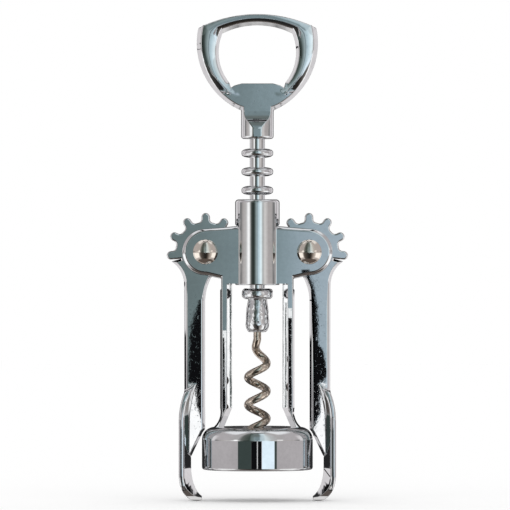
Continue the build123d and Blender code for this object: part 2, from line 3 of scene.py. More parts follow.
import bpy
from mathutils.bvhtree import BVHTree
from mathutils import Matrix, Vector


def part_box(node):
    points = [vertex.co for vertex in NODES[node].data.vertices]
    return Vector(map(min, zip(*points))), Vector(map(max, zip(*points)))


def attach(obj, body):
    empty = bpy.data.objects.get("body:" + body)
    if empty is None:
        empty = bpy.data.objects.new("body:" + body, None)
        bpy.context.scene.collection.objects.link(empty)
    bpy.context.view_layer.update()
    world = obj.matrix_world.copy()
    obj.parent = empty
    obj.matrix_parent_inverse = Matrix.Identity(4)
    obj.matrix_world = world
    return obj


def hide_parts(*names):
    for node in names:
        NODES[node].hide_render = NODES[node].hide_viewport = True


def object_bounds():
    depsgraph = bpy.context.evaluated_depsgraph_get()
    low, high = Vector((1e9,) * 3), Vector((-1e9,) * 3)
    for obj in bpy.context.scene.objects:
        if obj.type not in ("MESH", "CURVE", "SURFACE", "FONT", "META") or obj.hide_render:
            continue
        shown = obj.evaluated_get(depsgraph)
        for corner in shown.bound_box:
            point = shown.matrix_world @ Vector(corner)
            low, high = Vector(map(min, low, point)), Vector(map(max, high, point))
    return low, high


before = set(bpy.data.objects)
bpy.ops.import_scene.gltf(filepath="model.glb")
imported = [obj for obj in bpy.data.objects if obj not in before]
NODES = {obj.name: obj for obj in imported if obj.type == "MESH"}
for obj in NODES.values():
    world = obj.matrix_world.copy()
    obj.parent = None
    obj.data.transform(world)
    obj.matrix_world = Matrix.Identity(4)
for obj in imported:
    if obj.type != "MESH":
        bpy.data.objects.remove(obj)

MM = 0.001
CAD_BOX = [list(corner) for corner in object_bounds()]

# ---- camera and studio, in millimetres ----
CAMERA_DISTANCE = 2000.0
VIEW_CENTER = (-0.85, 0.0, 77.2)
VIEW_WIDTH = 183.6
SENSOR_WIDTH = 36.0
FLOOR_HALF = 2500.0
FLOOR_WHITE = 0.8

# places of the colour sockets on a Mix node
MIX_FIRST = 6
MIX_SECOND = 7
MIX_RESULT = 2


class Wire:
    """An output of a node, on which sums can be written."""

    def __init__(self, graph, socket):
        self.graph = graph
        self.socket = socket

    def __add__(self, other):
        return self.graph.math("ADD", self, other)

    def __radd__(self, other):
        return self.graph.math("ADD", other, self)

    def __sub__(self, other):
        return self.graph.math("SUBTRACT", self, other)

    def __rsub__(self, other):
        return self.graph.math("SUBTRACT", other, self)

    def __mul__(self, other):
        return self.graph.math("MULTIPLY", self, other)

    def __rmul__(self, other):
        return self.graph.math("MULTIPLY", other, self)

    def __truediv__(self, other):
        return self.graph.math("DIVIDE", self, other)


class Graph:
    """The nodes of one material or of the world."""

    def __init__(self, owner):
        owner.use_nodes = True
        self.tree = owner.node_tree
        self.tree.nodes.clear()

    def node(self, kind, settings=None, inputs=None, output=0):
        """Add a node: its settings first, then the values or wires of its inputs.

        It gives back the wire of the output that is named, or a list of wires for several names.
        """
        node = self.tree.nodes.new(kind)
        for name, value in (settings or {}).items():
            if name == "round_stops":
                set_stops(node.color_ramp, value, "B_SPLINE")
            elif name == "straight_stops":
                set_stops(node.color_ramp, value, "LINEAR")
            else:
                setattr(node, name, value)
        for name, value in (inputs or {}).items():
            if isinstance(value, Wire):
                self.tree.links.new(value.socket, node.inputs[name])
            else:
                node.inputs[name].default_value = value
        if not node.outputs:
            return None
        if isinstance(output, tuple):
            return [Wire(self, node.outputs[name]) for name in output]
        return Wire(self, node.outputs[output])

    def math(self, operation, *values):
        """A sum on numbers or wires."""
        return self.node("ShaderNodeMath", {"operation": operation}, dict(enumerate(values)))

    def mix(self, factor, first, second):
        """Blend of two colours."""
        return self.node("ShaderNodeMix", {"data_type": "RGBA"},
                         {"Factor": factor, MIX_FIRST: first, MIX_SECOND: second}, output=MIX_RESULT)

    def rise(self, value, low, high, start=0.0, end=1.0):
        """A smooth step of value from start at low to end at high."""
        return self.node("ShaderNodeMapRange", {"interpolation_type": "SMOOTHSTEP"},
                         {"Value": value, "From Min": low, "From Max": high, "To Min": start, "To Max": end})

    def noise(self, vector, scale, detail, roughness=0.5):
        """Cloudy noise from 0 to 1."""
        return self.node("ShaderNodeTexNoise", {},
                         {"Vector": vector, "Scale": scale, "Detail": detail, "Roughness": roughness})


def set_stops(ramp, stops, interpolation):
    """Give a ramp its stops, each a place from 0 to 1 and a colour."""
    ramp.interpolation = interpolation
    while len(ramp.elements) < len(stops):
        ramp.elements.new(1.0)
    for element, (place, colour) in zip(ramp.elements, stops):
        element.position = place
        element.color = colour


def rgb(red, green, blue):
    """An opaque colour."""
    return (red, green, blue, 1.0)


# ---- studio: what the chrome mirrors, by compass bearing from the front and height, in degrees ----
WALL = rgb(0.52, 0.49, 0.50)
FLOOR_TONE = rgb(0.86, 0.84, 0.83)
CEILING = rgb(0.95, 0.96, 0.98)
PALE_BLUE = rgb(0.98, 1.14, 1.25)
GREEN_GREY = rgb(0.055, 0.075, 0.07)
DIM_GREEN = rgb(0.17, 0.20, 0.195)
DIM_BLUE = rgb(0.23, 0.30, 0.32)
DARK_FLOOR = rgb(0.12, 0.10, 0.09)
DARK_GREY = rgb(0.12, 0.12, 0.12)
BLACK = rgb(0.006, 0.006, 0.007)
SHADE = rgb(0.03, 0.03, 0.031)
SOFTBOX = rgb(1.6, 1.6, 1.6)
LOW_SOFTBOX = rgb(1.25, 1.25, 1.25)
PALE = rgb(0.82, 0.79, 0.80)
WHITE = rgb(1.3, 1.3, 1.3)
OFF_WHITE = rgb(1.1, 1.12, 1.12)

# the room from left to right: bearing and colour
ROOM = (
    (-95, rgb(0.2, 0.2, 0.2)), (-80, rgb(0.5, 0.47, 0.46)), (-60, rgb(0.65, 0.63, 0.62)),
    (-51, rgb(1.1, 1.1, 1.1)), (-46, rgb(1.3, 1.3, 1.3)), (-40, rgb(0.98, 0.97, 0.96)),
    (-35, rgb(0.24, 0.25, 0.24)), (-28, rgb(0.05, 0.06, 0.055)), (-19, rgb(0.03, 0.04, 0.035)),
    (-14, rgb(0.07, 0.09, 0.085)), (-9, rgb(0.22, 0.28, 0.28)), (-3, rgb(0.40, 0.49, 0.51)),
    (7, rgb(0.62, 0.79, 0.86)),
    (18, rgb(1.0, 1.15, 1.2)), (23, rgb(0.85, 0.95, 0.97)), (28, rgb(0.5, 0.51, 0.5)),
    (40, rgb(0.82, 0.79, 0.77)), (60, rgb(0.52, 0.48, 0.47)), (80, rgb(0.5, 0.47, 0.46)),
    (95, rgb(0.2, 0.2, 0.2)),
)
# the same room straight ahead, which only flat faces mirror
STRAIGHT_AHEAD = (
    (-1.2, rgb(0.17, 0.22, 0.22)), (-0.6, rgb(0.18, 0.235, 0.24)), (-0.2, rgb(0.23, 0.30, 0.32)),
    (0.25, rgb(0.27, 0.36, 0.39)), (0.55, rgb(0.43, 0.53, 0.60)), (1.2, rgb(0.46, 0.55, 0.62)),
)
# the upper part of the room, above the softboxes
UPPER_ROOM = (
    (-60, rgb(0.5, 0.48, 0.48)), (-42, rgb(0.5, 0.49, 0.49)), (-34, rgb(0.16, 0.17, 0.16)),
    (-20, rgb(0.06, 0.08, 0.07)), (-13, rgb(0.14, 0.18, 0.17)), (-3, rgb(0.36, 0.45, 0.47)),
    (8, rgb(0.55, 0.68, 0.73)), (20, rgb(0.8, 0.9, 0.93)), (30, rgb(0.6, 0.62, 0.62)),
    (45, rgb(0.52, 0.5, 0.5)),
)
# the floor just ahead
RUGS = (
    (-48, rgb(0.6, 0.6, 0.6)), (-39, rgb(0.14, 0.12, 0.11)), (-22, rgb(0.06, 0.055, 0.05)),
    (-3, rgb(0.02, 0.02, 0.02)), (10, rgb(0.03, 0.025, 0.02)), (18, rgb(0.10, 0.09, 0.085)),
    (28, rgb(0.3, 0.27, 0.25)), (48, rgb(0.75, 0.72, 0.7)),
)
ROOM_HALF = 100.0
AHEAD_HALF = 2.0


def both_sides(name, near, far, *rest):
    """A panel on the right of the room and its like on the left."""
    return {"left " + name: (-far, -near, *rest), "right " + name: (near, far, *rest)}


# Panels of the room, each laid over those before it.
# name: bearing from, to, its softness, height from, to, its softness, colour
STUDIO_PANELS = {
    "ceiling": (-400, 400, 9, 52, 95, 6, CEILING),
    **both_sides("back ceiling", 128, 181, 6, 38, 82, 8, DARK_GREY),
    **both_sides("pale wall", 98, 181, 5, -50, 26, 8, PALE),
    **both_sides("back", 156, 181, 4, -60, 30, 6, SHADE),
    **both_sides("back at the pads' height", 149, 181, 2, -12, 12, 3, SHADE),
    "left corner": (-124, -113, 4, -42, 26, 8, WALL),
    "right corner": (112, 124, 4, -42, 26, 8, WALL),
    "floor": (-400, 400, 9, -95, -44, 6, FLOOR_TONE),
    "dark floor ahead": (-95, 95, 12, -95, -46, 6, DARK_FLOOR),
    "room": (-60, 60, 9, -16, 71, 1.2, UPPER_ROOM),
    "dim wall": (-5, 5, 2, 4.6, 71, 1.5, DIM_BLUE),
    "dim corner": (-13, 7, 6, 38, 71, 12, DIM_GREEN),
    "beam": (-70, 70, 6, 73, 81, 2, BLACK),
    "beam's end": (-0.03, 0.155, 0.02, 65.5, 73, 0.8, BLACK),
    **both_sides("low softbox", 48, 92, 4, -36, -4.5, 4, LOW_SOFTBOX),
    "left glint": (-50, -42, 1.5, -1.3, 9, 4, SOFTBOX),
    "right glint": (42, 54, 1.5, -1.3, 8, 4, SOFTBOX),
    "rugs": (-48, 48, 3, -50, -4.5, 1, RUGS),
    "room at the barrel's height": (-100, 100, 3, -1.3, 4.5, 0.2, ROOM),
    "wall at the bell's height": (-124, 124, 3, -3.8, -1.3, 0.2, WALL),
    "left toe's shade": (-181, -147.5, 1, -3.8, -1.74, 0.1, SHADE),
    "right toe's shade": (147.5, 181, 1, -3.8, -0.9, 0.1, SHADE),
    "left leg's shade": (-150, -124, 3, -1.74, -0.85, 0.05, BLACK),
    "right leg's light": (125, 176, 4, -1.6, -0.4, 0.05, PALE),
    "doorway": (-41, -12.4, 0.8, -3.8, -1.2, 0.2, GREEN_GREY),
    "window": (9.5, 36, 0.8, -3.8, -1.2, 0.2, PALE_BLUE),
    "window frame": (36, 41, 1, -3.8, -1.2, 0.2, GREEN_GREY),
    "straight ahead": (-1.35, 1.35, 0.15, -3.8, 5, 0.5, STRAIGHT_AHEAD),
    "dark table": (-12.6, 8.6, 0.4, -2.45, -1.78, 0.03, BLACK),
}

# sides that lean: heights, and the x of the side at each
LEFT_FOOT_SIDE = ((0.0, -19.0), (17.0, -19.6), (19.0, -20.3), (23.0, -21.8), (30.8, -22.6))
RIGHT_FOOT_SIDE = ((0.0, 19.0), (14.0, 19.6), (19.5, 22.6), (31.0, 22.9))
LEFT_STAND_SIDE = LEFT_FOOT_SIDE[1:] + ((31.6, -25.0), (41.0, -24.8), (52.0, -24.0), (54.5, -23.0),
                                        (57.0, -21.9), (61.0, -20.6))
RIGHT_STAND_SIDE = ((13.5, 19.2), (16.0, 20.6), (20.0, 22.4), (31.0, 22.6), (32.0, 24.6), (34.0, 25.0),
                    (37.6, 24.6), (42.7, 23.8), (44.5, 22.2), (59.0, 21.6), (66.0, 20.4), (72.0, 18.8))
LEFT_POST_SIDE = ((17.0, -11.1), (25.0, -11.3), (41.0, -11.6), (47.5, -11.8))
RIGHT_POST_SIDE = ((17.0, 12.8), (25.0, 12.7), (41.0, 12.5), (54.0, 12.4))

# Shapes straight ahead, in the place where a flat face mirrors them.
# name: x from, to, height from, to, softness, colour
MIRRORED_SHAPES = {
    "left stand": (LEFT_STAND_SIDE, -16.0, 17.0, 61.0, 0.3, BLACK),
    "right stand": (16.0, RIGHT_STAND_SIDE, 13.5, 72.0, 0.3, BLACK),
    "left foot": (-29.0, -16.0, 0.0, 16.8, 0.6, WHITE),
    "right foot": (16.0, 29.0, 0.0, 13.8, 0.6, WHITE),
    "right foot's edge": (RIGHT_FOOT_SIDE, 24.5, 0.0, 31.0, 0.3, WHITE),
    "left foot's edge": (-24.6, LEFT_FOOT_SIDE, 0.0, 30.8, 0.3, WHITE),
    "left post's light": (-15.5, -9.5, 0.0, 50.0, 0.12, OFF_WHITE),
    "left post": (-15.5, LEFT_POST_SIDE, 17.0, 47.5, 0.12, BLACK),
    "right post's light": (9.5, 15.5, 0.0, 58.0, 0.12, OFF_WHITE),
    "right post": (9.5, RIGHT_POST_SIDE, 17.0, 54.5, 0.12, BLACK),
}
# The same for the legs' inner sides. They slant by 2 mm over 4.55 mm of depth, and so mirror this bearing.
LEG_SLANT = (2.0, 4.55)
LEG_SIDE_LOOK = 2 * (90.0 - math.degrees(math.atan(LEG_SLANT[0] / LEG_SLANT[1])))
SIDE_SHAPES = {
    "left leg's wall": (LEG_SIDE_LOOK, -14.0, -4.0, 10.0, 75.0, 0.5, WHITE),
    "right leg's wall": (-LEG_SIDE_LOOK, 4.0, 14.0, 10.0, 75.0, 0.5, WHITE),
    "left seam": (LEG_SIDE_LOOK, -9.9, -9.2, 12.0, 70.0, 0.2, GREEN_GREY),
    "right seam": (-LEG_SIDE_LOOK, 8.7, 9.3, 12.0, 70.0, 0.2, GREEN_GREY),
    "right inner seam": (-LEG_SIDE_LOOK, 9.95, 10.5, 12.0, 60.0, 0.2, GREEN_GREY),
}
# the height over which a leaning side is written
MIRRORED_HEIGHT = 180.0


def colour_of(graph, bearing, paint):
    """A plain colour, or the blend of the colours that a room or floor has along the bearing."""
    if not isinstance(paint[0], tuple):
        return paint
    half = AHEAD_HALF if paint is STRAIGHT_AHEAD else ROOM_HALF
    kind = "round_stops" if paint is STRAIGHT_AHEAD else "straight_stops"
    stops = [((place + half) / (2 * half), tone) for place, tone in paint]
    return graph.node("ShaderNodeValToRGB", {kind: stops}, {"Fac": (bearing + half) / (2 * half)})


def side_of(graph, z, side):
    """The x of a shape's side: a number, or a line that leans with the height z."""
    if not isinstance(side, tuple):
        return side
    half = VIEW_WIDTH / 2
    stops = [(height / MIRRORED_HEIGHT, rgb(*[(x + half) / VIEW_WIDTH] * 3)) for height, x in side]
    line = graph.node("ShaderNodeValToRGB", {"straight_stops": stops}, {"Fac": z / MIRRORED_HEIGHT})
    return line * VIEW_WIDTH - half


def panel_mask(graph, across, left, right, soft, up, low, high, fade):
    """1 within a panel and 0 outside it, with soft borders."""
    return (graph.rise(across, left - soft, left + soft) * graph.rise(across, right + soft, right - soft)
            * graph.rise(up, low - fade, low + fade) * graph.rise(up, high + fade, high - fade))


def studio_world():
    """The room round the object, seen only in the metal; the camera sees white."""
    world = bpy.data.worlds.new("studio")
    bpy.context.scene.world = world
    graph = Graph(world)
    direction = graph.node("ShaderNodeTexCoord", output="Generated")
    x, y, z = graph.node("ShaderNodeSeparateXYZ", {}, {"Vector": direction}, output=("X", "Y", "Z"))
    bearing = graph.math("ARCTAN2", x, 0.0 - y) * math.degrees(1)
    height = graph.math("ARCSINE", z) * math.degrees(1)
    colour = WALL
    for left, right, soft, low, high, fade, paint in STUDIO_PANELS.values():
        mask = panel_mask(graph, bearing, left, right, soft, height, low, high, fade)
        colour = graph.mix(mask, colour, colour_of(graph, bearing, paint))
    to_place = CAMERA_DISTANCE * math.radians(1)
    mirrored_x = bearing * to_place + VIEW_CENTER[0]
    mirrored_z = height * to_place + VIEW_CENTER[2]
    for left, right, low, high, soft, paint in MIRRORED_SHAPES.values():
        left = side_of(graph, mirrored_z, left)
        right = side_of(graph, mirrored_z, right)
        mask = panel_mask(graph, mirrored_x, left, right, soft, mirrored_z, low, high, soft)
        colour = graph.mix(mask, colour, paint)
    for look, left, right, low, high, soft, paint in SIDE_SHAPES.values():
        side_x = (bearing - look) * to_place + VIEW_CENTER[0]
        mask = panel_mask(graph, side_x, left, right, soft, mirrored_z, low, high, soft)
        colour = graph.mix(mask, colour, paint)
    glossy = graph.node("ShaderNodeLightPath", output="Is Glossy Ray")
    seen = graph.mix(glossy, rgb(1.0, 1.0, 1.0), colour)
    background = graph.node("ShaderNodeBackground", {}, {"Color": seen, "Strength": 1.0})
    graph.node("ShaderNodeOutputWorld", {}, {"Surface": background})


def studio_floor():
    """Pale floor that the pads' toes stand on; it keeps the object's shadow."""
    bpy.ops.object.select_all(action="DESELECT")
    bpy.ops.mesh.primitive_plane_add(size=2 * FLOOR_HALF * MM, location=(0, 0, CAD_BOX[0][2]))
    floor = bpy.context.object
    floor.name = "floor"
    floor.visible_glossy = False
    material = bpy.data.materials.new("pale_floor")
    graph = Graph(material)
    camera = graph.node("ShaderNodeLightPath", output="Is Camera Ray")
    matte = graph.node("ShaderNodeBsdfDiffuse", {}, {"Color": rgb(FLOOR_WHITE, FLOOR_WHITE, FLOOR_WHITE)})
    glow = graph.node("ShaderNodeEmission", {},
                      {"Color": rgb(1.0, 1.0, 1.0), "Strength": camera * (1 - FLOOR_WHITE)})
    both = graph.node("ShaderNodeAddShader", {}, {0: matte, 1: glow})
    graph.node("ShaderNodeOutputMaterial", {}, {"Surface": both})
    floor.data.materials.append(material)


def studio_camera():
    """A long lens straight in front, level with the middle of the object."""
    lens = SENSOR_WIDTH * CAMERA_DISTANCE / VIEW_WIDTH
    data = bpy.data.cameras.new("camera")
    data.sensor_width = SENSOR_WIDTH
    data.lens = lens
    camera = bpy.data.objects.new("camera", data)
    camera.location = (VIEW_CENTER[0] * MM, -CAMERA_DISTANCE * MM, VIEW_CENTER[2] * MM)
    camera.rotation_euler = (math.radians(90), 0, 0)
    bpy.context.scene.collection.objects.link(camera)
    bpy.context.scene.camera = camera


# ---- finishes: scales are in features per metre, heights of the bump in millimetres ----
HAZE_SCALE = 90.0
WAVE_SCALE = 160.0
STAIN_SCALE = 700.0
SCUFF_SCALE = 900.0
SCUFF_STRETCH = (3.0, 3.0, 0.25)
PIT_SCALE = 1100.0
PIT_DEPTH = 0.002
SKIN_SCALE = 1300.0
MOULD_SCALE = 300.0
MOULD_SHADE = 0.8
# the values of the noise over which each kind of mark comes in
PATCH_RANGE = (0.5, 0.8)
SCUFF_RANGE = (0.62, 0.78)
PIT_RANGE = (0.60, 0.74)
STAIN_RANGE = (0.3, 0.7)


def finish_material(name, colour, roughness, haze_gain, waves, grain, stain=0.08, pits=0.0):
    """Plated metal: a slight wave in the polish, a fine skin, hazy patches, hairline scuffs and pits."""
    material = bpy.data.materials.new(name)
    graph = Graph(material)
    place = graph.node("ShaderNodeTexCoord", output="Object")
    haze = graph.noise(place, HAZE_SCALE, 4.0)
    stretched = graph.node("ShaderNodeMapping", {}, {"Vector": place, "Scale": SCUFF_STRETCH})
    scuffs = graph.rise(graph.noise(stretched, SCUFF_SCALE, 3.0), *SCUFF_RANGE)
    patches = graph.rise(haze, *PATCH_RANGE)
    rough = roughness + haze_gain * (patches + scuffs)
    wave = graph.noise(place, WAVE_SCALE, 1.0)
    skin = graph.noise(place, SKIN_SCALE, 3.0)
    specks = graph.rise(graph.noise(place, PIT_SCALE, 4.0, 0.7), *PIT_RANGE)
    height = wave * waves + skin * grain - specks * (pits * PIT_DEPTH)
    bump = graph.node("ShaderNodeBump", {}, {"Strength": 1.0, "Distance": MM, "Height": height})
    fine = graph.noise(place, STAIN_SCALE, 5.0, 0.65)
    worn = graph.rise(fine, *STAIN_RANGE, 1 - stain, 1.0) * graph.rise(haze, *STAIN_RANGE, 1 - stain, 1.0)
    tint = graph.mix(worn * (1 - specks * pits), rgb(0.0, 0.0, 0.0), rgb(*colour))
    shader = graph.node("ShaderNodeBsdfPrincipled", {},
                        {"Base Color": tint, "Metallic": 1.0, "Roughness": rough, "Normal": bump})
    graph.node("ShaderNodeOutputMaterial", {}, {"Surface": shader})
    return material


def plastic_material(name, colour):
    """Moulded plastic with a mottled skin."""
    material = bpy.data.materials.new(name)
    graph = Graph(material)
    place = graph.node("ShaderNodeTexCoord", output="Object")
    haze = graph.noise(place, MOULD_SCALE, 4.0)
    bump = graph.node("ShaderNodeBump", {}, {"Strength": 0.4, "Distance": 0.1 * MM, "Height": haze})
    tint = graph.mix(haze, rgb(*[part * MOULD_SHADE for part in colour]), rgb(*colour))
    shader = graph.node("ShaderNodeBsdfPrincipled", {},
                        {"Base Color": tint, "Roughness": 0.4 + 0.2 * haze, "Normal": bump})
    graph.node("ShaderNodeOutputMaterial", {}, {"Surface": shader})
    return material


def dress(node, material):
    """Give a CAD node its finish."""
    for slot in NODES[node].material_slots:
        slot.material = material


# ---- pieces shaped from a copy of a casting ----
MERGE_DISTANCE = 0.001 * MM
FLAT_ANGLE = math.radians(1.0)
SHARP_ANGLE = math.radians(24.0)
EDGE_SEGMENTS = 3
# faces that meet at less than this angle shade as one
SMOOTH_LIMIT = math.cos(math.radians(50.0))
# a face smaller than this share of its largest neighbour has no say in the shading
SMALL_SHARE = 0.25
# how far a corner may lie outside and inside the casting's surface
OUTSIDE_LIMIT = 0.02 * MM
INSIDE_LIMIT = 0.45 * MM


def take(piece):
    """Make a piece the only one selected, and the active one."""
    bpy.ops.object.select_all(action="DESELECT")
    piece.select_set(True)
    bpy.context.view_layer.objects.active = piece


def apply_modifier(piece, kind, **settings):
    """Shape a piece with one modifier."""
    take(piece)
    modifier = piece.modifiers.new(kind.lower(), kind)
    for name, value in settings.items():
        setattr(modifier, name, value)
    bpy.ops.object.modifier_apply(modifier=modifier.name)


def merged_copy(node, name):
    """The shape of a CAD node as a new piece, with its triangles joined and its flat faces whole."""
    piece = bpy.data.objects.new(name, NODES[node].data.copy())
    bpy.context.scene.collection.objects.link(piece)
    take(piece)
    bpy.ops.mesh.customdata_custom_splitnormals_clear()
    bpy.ops.object.mode_set(mode="EDIT")
    bpy.ops.mesh.select_all(action="SELECT")
    bpy.ops.mesh.remove_doubles(threshold=MERGE_DISTANCE)
    bpy.ops.mesh.dissolve_limited(angle_limit=FLAT_ANGLE)
    bpy.ops.object.mode_set(mode="OBJECT")
    return piece


def round_edges(piece, width_at):
    """Round every sharp edge, by the width in millimetres that width_at gives for its place."""
    take(piece)
    bpy.ops.object.mode_set(mode="EDIT")
    bpy.ops.mesh.select_mode(type="EDGE")
    bpy.ops.mesh.select_all(action="DESELECT")
    bpy.ops.mesh.edges_select_sharp(sharpness=SHARP_ANGLE)
    bpy.ops.object.mode_set(mode="OBJECT")
    mesh = piece.data
    weights = mesh.attributes.new("bevel_weight_edge", "FLOAT", "EDGE")
    for edge in mesh.edges:
        if edge.select:
            first, second = (mesh.vertices[index].co for index in edge.vertices)
            weights.data[edge.index].value = width_at((first + second) / 2 / MM)
    apply_modifier(piece, "BEVEL", width=MM, segments=EDGE_SEGMENTS, limit_method="WEIGHT",
                   use_clamp_overlap=False)


def put_back(piece, node):
    """Put corners that the rounding threw off the casting back on its surface."""
    casting = NODES[node].data
    skin = BVHTree.FromPolygons([vertex.co for vertex in casting.vertices],
                                [tuple(face.vertices) for face in casting.polygons])
    for vertex in piece.data.vertices:
        place, facing, index, distance = skin.find_nearest(vertex.co)
        outside = (vertex.co - place).dot(facing) > 0
        if distance > (OUTSIDE_LIMIT if outside else INSIDE_LIMIT):
            vertex.co = place


def smooth(piece, own_normal=None):
    """Smooth shading in which a face much larger than its neighbours keeps its own direction.

    own_normal gives the true direction at a place on a swelled face, or None elsewhere.
    """
    take(piece)
    bpy.ops.object.shade_smooth()
    mesh = piece.data
    around = [[] for vertex in mesh.vertices]
    faces = [(face.normal.copy(), face.area, tuple(face.vertices)) for face in mesh.polygons]
    for face in faces:
        for vertex in face[2]:
            around[vertex].append(face)
    normals = []
    for own, area, vertices in faces:
        for vertex in vertices:
            exact = own_normal(mesh.vertices[vertex].co / MM, own) if own_normal else None
            if exact:
                normals.append(exact)
                continue
            near = [face for face in around[vertex] if face[0].dot(own) > SMOOTH_LIMIT]
            least = SMALL_SHARE * max([face[1] for face in near], default=area)
            total = own * 0.0
            for normal, size, corners in near:
                if size >= least:
                    total = total + normal * size
            normals.append(total.normalized() if total.length > 0 else own)
    mesh.normals_split_custom_set(normals)


def finished(piece, body, slot, material, *nodes):
    """Give a piece its finish and its place in the frame."""
    piece.data.materials.clear()
    piece.data.materials.append(material)
    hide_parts(*nodes)
    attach(piece, body)


# ---- widths of the rounded edges, in millimetres ----
ARM_EDGE = 0.6
PAD_EDGE = 0.75
GEAR_EDGE = 0.25
WEB_EDGE = 0.2
FRAME_EDGE = 0.35
CROWDED_EDGE = 0.0
HANDLE_EDGE = 0.3
# places on a lever: the pivot's x and z, the teeth's reach from it, the web's top and the pads' depth
PIVOT = (18.65, 78.3)
GEAR_REACH = 14.2
WEB_TOP = 24.0
PAD_FACE = 7.3
# where the frame's edges are too crowded to round: heights, and distance from the spindle
BARREL_MOUTH = (60.0, 70.5)
BARREL_REACH = 12.0
LEG_FOOT = (13.5, 19.0)
LEG_FOOT_REACH = 11.0


def lever_edge(place):
    """Width of the rounding at a place on a lever: pad, gear, web or arm."""
    if abs(place.y) > PAD_FACE:
        return PAD_EDGE
    if math.hypot(abs(place.x) - PIVOT[0], place.z - PIVOT[1]) < GEAR_REACH:
        return GEAR_EDGE
    if place.z < WEB_TOP:
        return WEB_EDGE
    return ARM_EDGE


def frame_edge(place):
    """Width of the rounding at a place on the frame casting."""
    if BARREL_MOUTH[0] < place.z < BARREL_MOUTH[1] and math.hypot(place.x, place.y) < BARREL_REACH:
        return CROWDED_EDGE
    if LEG_FOOT[0] < place.z < LEG_FOOT[1] and abs(place.x) > LEG_FOOT_REACH:
        return CROWDED_EDGE
    return FRAME_EDGE


def handle_edge(place):
    """Width of the rounding on the handle, the same all over."""
    return HANDLE_EDGE


def lever_piece(side):
    """One lever, with its gear, arm and thumb pad."""
    piece = merged_copy("lever_" + side, "lever_" + side + "_casting")
    round_edges(piece, lever_edge)
    put_back(piece, "lever_" + side)
    smooth(piece)
    finished(piece, side + "_lever", "lever_chrome", lever_chrome, "lever_" + side)


def frame_piece():
    """The casting of the barrel, ears, legs and bell."""
    piece = merged_copy("frame_casting", "frame_body")
    round_edges(piece, frame_edge)
    put_back(piece, "frame_casting")
    smooth(piece)
    finished(piece, "frame", "frame_chrome", frame_chrome, "frame_casting")


# ---- the handle's loop, in millimetres; a disc is its centre's x and z and its radius ----
# the discs that bound the loop's face, and those that bound its opening
LOOP_DISCS = ((4.6, 153.5, 24.5), (-4.6, 153.5, 24.5), (0.0, 115.8, 48.0))
OPENING_DISCS = ((3.6, 150.2, 18.5), (-3.6, 150.2, 18.5), (0.0, 131.4, 29.75))
# the rim stands out most below RIM_LOW and least above RIM_HIGH, and fades out down to RIM_END
RIM_LOW = 136.0
RIM_HIGH = 146.0
RIM_END = 129.6
RIM_FADE = 2.0
RIM_GROWTH_LOW = 0.65
RIM_GROWTH_HIGH = 0.4
# a corner this near to the edge of its disc belongs to that edge
RIM_NEAR = 0.5
# the lower edge of the top bar's face, and how far it comes down
TOP_EDGE_DISC = (0.0, 131.4, 30.3)
TOP_EDGE_NEAR = 0.65
TOP_DROP = 0.55
TOP_DROP_END = 14.0
TOP_DROP_FADE = 3.0
# the face's depth, how near to it a corner lies on it, and where the edges that belong to it begin
HANDLE_FACE = 3.2
ON_FACE = 0.01
FACE_EDGE_FROM = 2.5
# the crown of the face: its height, where it starts and is full, and the cells that carry it
CROWN = 0.30
CROWN_FROM = 134.0
CROWN_FULL = 142.0
CROWN_CELL = 1.0
SLOPE_STEP = 0.05
# the stretch that the cells cover, from the middle to each side and up to the summit
LOOP_HALF = 29.0
LOOP_SUMMIT = 164.0
# how straight a face looks ahead to be crowned, and to be cut
FACING = 0.9
FLAT_FACING = 0.999


def beyond(disc, x, z):
    """How far a place lies outside a disc, or inside it as a negative number."""
    return math.hypot(x - disc[0], z - disc[1]) - disc[2]


def smooth_rise(part):
    """A step from 0 to 1 that starts and ends gently."""
    part = min(max(part, 0.0), 1.0)
    return part * part * (3 - 2 * part)


def rim_growth(z):
    """How far the rim of the loop's face stands out over the casting's."""
    part = min(max((z - RIM_LOW) / (RIM_HIGH - RIM_LOW), 0.0), 1.0)
    return RIM_GROWTH_LOW + (RIM_GROWTH_HIGH - RIM_GROWTH_LOW) * part


def rim_shift(place):
    """Sideways move of a corner of the loop's rim, as x and z."""
    disc = max(LOOP_DISCS, key=lambda disc: beyond(disc, place.x, place.z))
    on_side = disc[0] != 0 and place.z >= RIM_END
    if not on_side or abs(place.y) < FACE_EDGE_FROM or abs(beyond(disc, place.x, place.z)) > RIM_NEAR:
        return 0.0, 0.0
    grown = rim_growth(place.z) * min((place.z - RIM_END) / RIM_FADE, 1.0)
    away = math.hypot(place.x - disc[0], place.z - disc[1])
    return grown * (place.x - disc[0]) / away, grown * (place.z - disc[1]) / away


def top_bar_drop(place):
    """How far the lower edge of the top bar's face comes down at a place."""
    near = abs(beyond(TOP_EDGE_DISC, place.x, place.z)) <= TOP_EDGE_NEAR
    if not near or abs(place.y) < FACE_EDGE_FROM or abs(place.x) > TOP_DROP_END:
        return 0.0
    return TOP_DROP * min((TOP_DROP_END - abs(place.x)) / TOP_DROP_FADE, 1.0)


def crown_at(x, z):
    """How far the face of the loop swells at a place."""
    from_rim = min((rim_growth(z) if disc[0] else 0.0) - beyond(disc, x, z) for disc in LOOP_DISCS)
    from_opening = max(beyond(disc, x, z) for disc in OPENING_DISCS)
    across = from_rim + from_opening
    if from_rim <= 0 or from_opening <= 0 or across <= 0:
        return 0.0
    part = from_rim / across
    return CROWN * 4 * part * (1 - part) * smooth_rise((z - CROWN_FROM) / (CROWN_FULL - CROWN_FROM))


